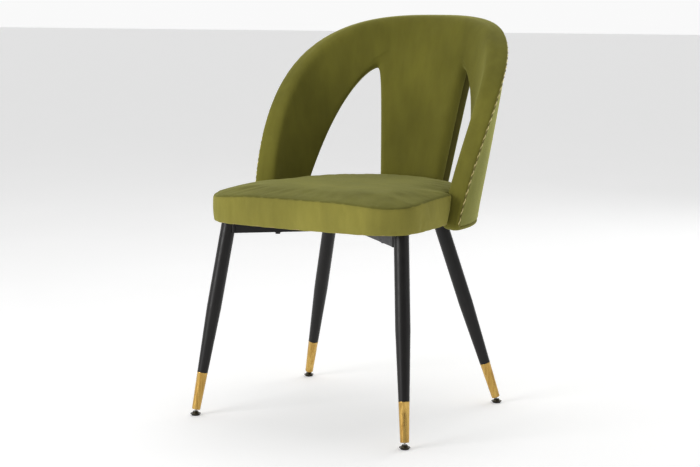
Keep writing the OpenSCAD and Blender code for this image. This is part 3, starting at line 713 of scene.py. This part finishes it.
def build_cord():
    """A gold strand and an olive strand of three yarns each, twisted round each other."""
    path = resample(outline(CORD_IN, -CORD_UP), N_CORD, closed_end=True)[CORD_TRIM:-CORD_TRIM]
    along = np.r_[0, np.cumsum(np.linalg.norm(np.diff(path, axis=0), axis=1))]
    tangent = np.gradient(path, axis=0)
    tangent /= np.linalg.norm(tangent, axis=1)[:, None]
    radial = path - np.stack([0 * path[:, 0], back_y(path[:, 2]), path[:, 2]], 1)
    u = radial - tangent * (radial * tangent).sum(1)[:, None]
    u /= np.linalg.norm(u, axis=1)[:, None]
    v = np.cross(tangent, u)
    for word, turn, slot_tone in (("gold", 0.0, None), ("olive", math.pi, "cord")):
        a = 2 * math.pi * along / CORD_PITCH + turn
        side = np.cos(a)[:, None] * u + np.sin(a)[:, None] * v
        centre = path + STRAND_AT * side
        points, faces = [], []
        for y in range(N_YARNS):
            b = 2 * math.pi * along / YARN_PITCH + 2 * math.pi * y / N_YARNS
            core = centre + YARN_AT * (np.cos(b)[:, None] * u + np.sin(b)[:, None] * v)
            tube(points, faces, core, u, v, YARN_R, 6)
        obj = new_object(f"back_cord_{word}_strand", np.concatenate(points), faces)
        finish_piece(obj, "gold_cord", replaces=["back_cord"], tone=slot_tone)


def tube(points, faces, core, u, v, radius, sides):
    """Adds a closed round tube along a line to the lists of points and faces."""
    n = len(core)
    base = len(points) * n
    for k in range(sides):
        c = 2 * math.pi * k / sides
        points.append(core + radius * (math.cos(c) * u + math.sin(c) * v))
    for i in range(n - 1):
        for k in range(sides):
            k2 = (k + 1) % sides
            faces.append((base + k * n + i, base + k2 * n + i, base + k2 * n + i + 1,
                          base + k * n + i + 1))
    faces.append(tuple(base + k * n for k in reversed(range(sides))))
    faces.append(tuple(base + k * n + n - 1 for k in range(sides)))


# ---- The seat ----
def seat_outline(z, d, n):
    """The seat's plan at height z, inset by d, as n even points from the middle of the front."""
    w, y0, r = SEAT_W / 2 - d, SEAT_FRONT + d, CORNER_R - d
    t = max(0.0, z - BACK_LOW) / (CHAIR_H - BACK_LOW)
    edge = math.radians(WRAP * (1 - t ** TOP_POW) ** (1 / SIDE_POW))
    rim = back_y(z) + back_r(z) * math.cos(edge) - SEAT_GAP - d
    rear_r = back_r(z) - WALL - SEAT_GAP - d
    side = SEAT_W / 2 - SIDE_TAPER - d
    a1 = math.acos((rim + d - back_y(z)) / rear_r)
    p = [(x, y0 + FRONT_BOW * (x / (w - r)) ** 2) for x in np.linspace(0, w - r, 20)]
    p += [(w - r + r * math.sin(a), y0 + FRONT_BOW + r * (1 - math.cos(a)))
          for a in np.linspace(0, math.pi / 2, 40)[1:]]
    p += [(w + (side - w) * s * s, (y0 + FRONT_BOW + r) * (1 - s) + rim * s)
          for s in np.linspace(0, 1, 20)[1:]]
    p += [(rear_r * math.sin(a1), rim)]
    p += [(rear_r * math.sin(a), max(rim, back_y(z) + rear_r * math.cos(a)))
          for a in np.linspace(a1, 0, 80)[1:]]
    half = resample(np.array(p), n // 2 + 1, closed_end=True)
    loop = np.concatenate([half, half[-2:0:-1] * [-1, 1]])
    return relax(loop, 3)


def corner_dip(points):
    """How far the edge seam dips at each point near a front corner."""
    turn = CORNER_R * (1 - math.sqrt(0.5))
    x, y = SEAT_W / 2 - turn, SEAT_FRONT + FRONT_BOW + turn
    away = np.hypot(np.abs(points[:, 0]) - x, points[:, 1] - y)
    return CORNER_DIP * np.exp(-((away / (78 * MM)) ** 2))


def seat_ring(z, d, dip=0.0):
    loop = seat_outline(z, d, N_SEAT)
    return np.c_[loop, z - dip * corner_dip(loop)]


def fill_plan(loop, step):
    """Points and even triangles inside a closed outline, whose own points come first."""
    inner = []
    lo, hi = loop.min(0), loop.max(0)
    rows = int((hi[1] - lo[1]) / (step * ROW_STEP)) + 1
    for j in range(1, rows):
        y = lo[1] + j * step * ROW_STEP
        shift = step / 2 if j % 2 else 0
        for x in np.arange(lo[0] + shift, hi[0], step):
            inner.append((x, y))
    inner = np.array(inner)
    a, b = loop, np.roll(loop, -1, 0)
    y = inner[:, None, 1]
    crosses = (a[None, :, 1] > y) != (b[None, :, 1] > y)
    slope = (b[:, 0] - a[:, 0]) / np.where(b[:, 1] == a[:, 1], 1e-12, b[:, 1] - a[:, 1])
    x_at = a[None, :, 0] + slope[None, :] * (y - a[None, :, 1])
    inside = (crosses & (inner[:, None, 0] < x_at)).sum(1) % 2 == 1
    inner = inner[inside]
    inner = inner[distance_to(inner, loop) > step * 0.6]
    points = np.concatenate([loop, inner])
    n = len(loop)
    made = delaunay_2d_cdt([Vector(p) for p in points], [(i, (i + 1) % n) for i in range(n)],
                           [], 1, 1e-7)
    verts = np.array([tuple(v) for v in made[0]])
    return verts, [tuple(f) for f in made[2]]


def pressed(obj, held, frames, pressure, slack, cap):
    """Runs the cloth under pressure with the held points fixed, and keeps the result."""
    start = np.array([v.co[:] for v in obj.data.vertices])
    group = obj.vertex_groups.new(name="held")
    for i, w in enumerate(held):
        if w > 0:
            group.add([i], float(w), "REPLACE")
    mod = obj.modifiers.new("cloth", "CLOTH")
    s = mod.settings
    s.quality = 7
    s.mass = 0.25
    s.tension_stiffness = s.compression_stiffness = 18
    s.shear_stiffness = 6
    s.bending_stiffness = 0.6
    s.vertex_group_mass = "held"
    s.shrink_min = -slack
    s.use_pressure = True
    s.uniform_pressure_force = pressure
    s.effector_weights.gravity = 0
    mod.collision_settings.use_collision = False
    mod.point_cache.frame_start, mod.point_cache.frame_end = 1, frames
    scene = bpy.context.scene
    for f in range(1, frames + 1):
        scene.frame_set(f)
    made = obj.evaluated_get(bpy.context.evaluated_depsgraph_get())
    end = np.array([v.co[:] for v in made.data.vertices])
    obj.modifiers.remove(mod)
    scene.frame_set(1)
    move = end - start
    length = np.linalg.norm(move, axis=1)
    move *= (cap * np.tanh(length / cap) / np.maximum(length, 1e-9))[:, None]
    obj.data.vertices.foreach_set("co", (start + move).ravel())
    obj.data.update()


def build_seat_top():
    """The top panel: steep down to its seam all round, softly crowned in the middle."""
    loop = seat_outline(SEAM_Z, 0, N_SEAT)
    plan, tris = fill_plan(loop, 6 * MM)
    d = distance_to(plan, loop)
    share = np.clip(d / (150 * MM), 0, 1)
    shoulder = SHOULDER_H * (1 - np.exp(-((d / (9 * MM)) ** 0.9)))
    crown = (CROWN_H - SHOULDER_H) * (1 - (1 - share) ** 2.2)
    near = np.exp(-((d / (40 * MM)) ** 2))
    z = SEAM_Z + shoulder + crown - corner_dip(plan) * near
    top = new_object("seat_top_velvet", np.c_[plan, z], tris)
    if top.data.polygons[0].normal.z < 0:
        top.data.flip_normals()
    pressed(top, np.where(d < 1 * MM, 1.0, 0.0), 16, 2.0, 0.0015, 3 * MM)
    seam = np.c_[loop, SEAM_Z - corner_dip(loop)]
    pucker(top, seam, 10 * MM, 0.35 * MM, 26 * MM)
    rear_right = np.array([[0.215, AXIS_Y - 0.03, SEAM_Z], [0.19, AXIS_Y + 0.05, SEAM_Z]])
    pucker(top, np.r_[rear_right, rear_right * [-1, 1, 1]], 45 * MM, 0.6 * MM, 34 * MM)
    thicken(top, 1.4 * MM)
    # The top panel takes a darker copy of the velvet: painted shade.
    finish_piece(top, "velvet", replaces=["seat_cover_top"], tone="seat")


def build_seat_band():
    """The boxed side band, from its tucked seam down and round under the board."""
    band_h = SEAM_Z - SEAT_UNDER
    turn = 5 * MM
    rows = [(3.2 * MM, SEAM_Z - 0.6 * MM), (1.5 * MM, SEAM_Z + 0.5 * MM),
            (0.4 * MM, SEAM_Z + 0.1 * MM), (-0.3 * MM, SEAM_Z - 1.4 * MM)]
    for t in np.linspace(0.06, 0.80, 12):
        rows.append((-1.8 * MM * math.sin(math.pi * (t + 0.08)) ** 0.7, SEAM_Z - band_h * t))
    for a in np.linspace(0.12, 1, 9) * math.pi / 2:
        rows.append((turn * (1 - math.cos(a)), SEAT_UNDER + turn * (1 - math.sin(a))))
    for dd in (12, 16, 22, 30):
        rows.append((dd * MM, SEAT_UNDER + 0.05 * MM))
    rings = []
    for dd, z in rows:
        ring = seat_ring(min(z, SEAM_Z), dd)
        share = np.clip((z - SEAT_UNDER) / band_h, 0, 1)
        ring[:, 2] = z - share ** 1.5 * corner_dip(ring)
        rings.append(ring)
    faces = stack_faces([0] * len(rings), N_SEAT)
    band = new_object("seat_band_velvet", np.concatenate(rings), faces)
    if band.data.polygons[6 * N_SEAT].normal.y > 0:
        band.data.flip_normals()
    held = np.repeat([1.0 if r < 4 or r > 17 else 0.0 for r in range(len(rings))], N_SEAT)
    pressed(band, held, 12, 2.0, 0.004, 2.0 * MM)
    loop = seat_outline(SEAM_Z, 0, N_SEAT)
    pucker(band, np.c_[loop, SEAM_Z - corner_dip(loop)], 9 * MM, 0.3 * MM, 19 * MM)
    low = seat_ring(SEAT_UNDER, 2 * MM)
    pucker(band, low, 12 * MM, 0.5 * MM, 30 * MM)
    thicken(band, 1.3 * MM)
    # The band takes a lighter copy of the velvet: painted light.
    finish_piece(band, "velvet", replaces=["seat_band"], tone="band")


def build_seat_foam():
    """The foam just under the top panel and the band."""
    z1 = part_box("seat_foam")[0].z
    rings = [seat_ring(z1, 3.2 * MM), seat_ring(SEAM_Z - 11 * MM, 3.2 * MM, 0.4),
             seat_ring(SEAM_Z - 5 * MM, 6 * MM, 0.9)]
    centre = np.array([0, FEET_Y])
    for inset, rise in ((12, 0.5), (30, 3), (60, 4.5), (110, 6.5)):
        k = 1 - inset * MM / 0.24
        ring = seat_ring(SEAM_Z - 5 * MM, 6 * MM)
        near = 0.9 * math.exp(-((inset / 40) ** 2))
        ring[:, 2] = SEAM_Z + rise * MM - near * corner_dip(ring)
        ring[:, :2] = centre + (ring[:, :2] - centre) * k
        rings.append(ring)
    faces = stack_faces([0] * len(rings), N_SEAT)
    faces.append(tuple(range(N_SEAT)))
    faces.append(tuple(range(len(rings) * N_SEAT - 1, (len(rings) - 1) * N_SEAT - 1, -1)))
    foam = weld(new_object("seat_foam_block", np.concatenate(rings), faces), 1e-6, outward=True)
    finish_piece(foam, "foam", replaces=["seat_foam"])


def build_dust_cover():
    """The thin cloth stapled under the seat, rippled a little beside its edge."""
    top_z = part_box("seat_dust_cover")[1].z
    loop = seat_outline(SEAT_UNDER, 31 * MM, 240)
    plan, tris = fill_plan(loop, 14 * MM)
    d = distance_to(plan, loop)
    waves = wave_noise(np.c_[plan, plan[:, :1]], 30 * MM)
    drop = 0.15 * MM + 0.2 * MM * np.exp(-((d / (12 * MM)) ** 2)) * (1 + waves)
    cloth = new_object("seat_dust_cloth", np.c_[plan, top_z - drop], tris)
    if cloth.data.polygons[0].normal.z > 0:
        cloth.data.flip_normals()
    thicken(cloth, 0.3 * MM)
    finish_piece(cloth, "dust_cloth", replaces=["seat_dust_cover"])


# ---- Legs ----
def leg_frame(corner):
    """The leg's own frame: origin at its foot's ball, Z up along the leg."""
    place = Vector(JOINTS["swivel_" + corner]["pos_m"])
    up = -Vector(JOINTS["level_" + corner]["axis"])
    return Matrix.Translation(place) @ up.to_track_quat("Z", "Y").to_matrix().to_4x4()


def lathe(name, profile, sides, matrix):
    """A turned piece from a closed profile of (radius, height) in millimetres."""
    p = np.array(profile, float) * MM
    points, faces = [], []
    n = len(p)
    for k in range(sides):
        a = 2 * math.pi * k / sides
        points += [matrix @ Vector((r * math.cos(a), r * math.sin(a), z)) for r, z in p]
    for k in range(sides):
        k2 = (k + 1) % sides
        for i in range(n):
            j = (i + 1) % n
            faces.append((k * n + i, k2 * n + i, k2 * n + j, k * n + j))
    obj = new_object(name, points, faces)
    weld(obj, 1e-7, outward=True)
    obj.data.set_sharp_from_angle(angle=math.radians(38))
    return obj


def build_sleeve(corner):
    """The gold sleeve, with rounded edges and a thin raised ring at its top. Millimetres."""
    z0, z1, r0, r1, wall = 5.6, 84.6, 8.8, 11.0, 1.2
    edge, lip = 0.35, 0.3

    def at(z):
        return r0 + (r1 - r0) * (z - z0) / (z1 - z0)

    profile = [(r0 - wall, z0 + edge), (r0 - wall + edge, z0), (r0 - edge, z0), (r0, z0 + edge),
               (at(30), 30), (at(60), 60), (at(z1 - 1.9), z1 - 1.9),
               (at(z1 - 1.5) + lip * 0.8, z1 - 1.5),
               (r1 + lip, z1 - 1.0), (r1 + lip, z1 - 0.5), (r1 + lip * 0.6, z1 - 0.1), (r1, z1),
               (r1 - 0.2, z1), (r1 - wall, z1 - 0.3), (at(60) - wall, 60), (at(30) - wall, 30)]
    obj = lathe("sleeve_gold_" + corner, profile, 64, leg_frame(corner))
    finish_piece(obj, "gold_sleeve", replaces=["sleeve_" + corner])


def dress_cad():
    """Gives each CAD node the material of its slot."""
    for name, obj in frame["nodes"].items():
        obj.data.materials.clear()
        obj.data.materials.append(M[NODE_SLOT[name]])


dress_cad()
build_front_cover()
build_front_foam()
build_rear_cover()
build_rear_foam()
build_lining(-1)
build_lining(1)
build_cord()
build_seat_top()
build_seat_band()
build_seat_foam()
build_dust_cover()
for corner in CORNERS:
    build_sleeve(corner)
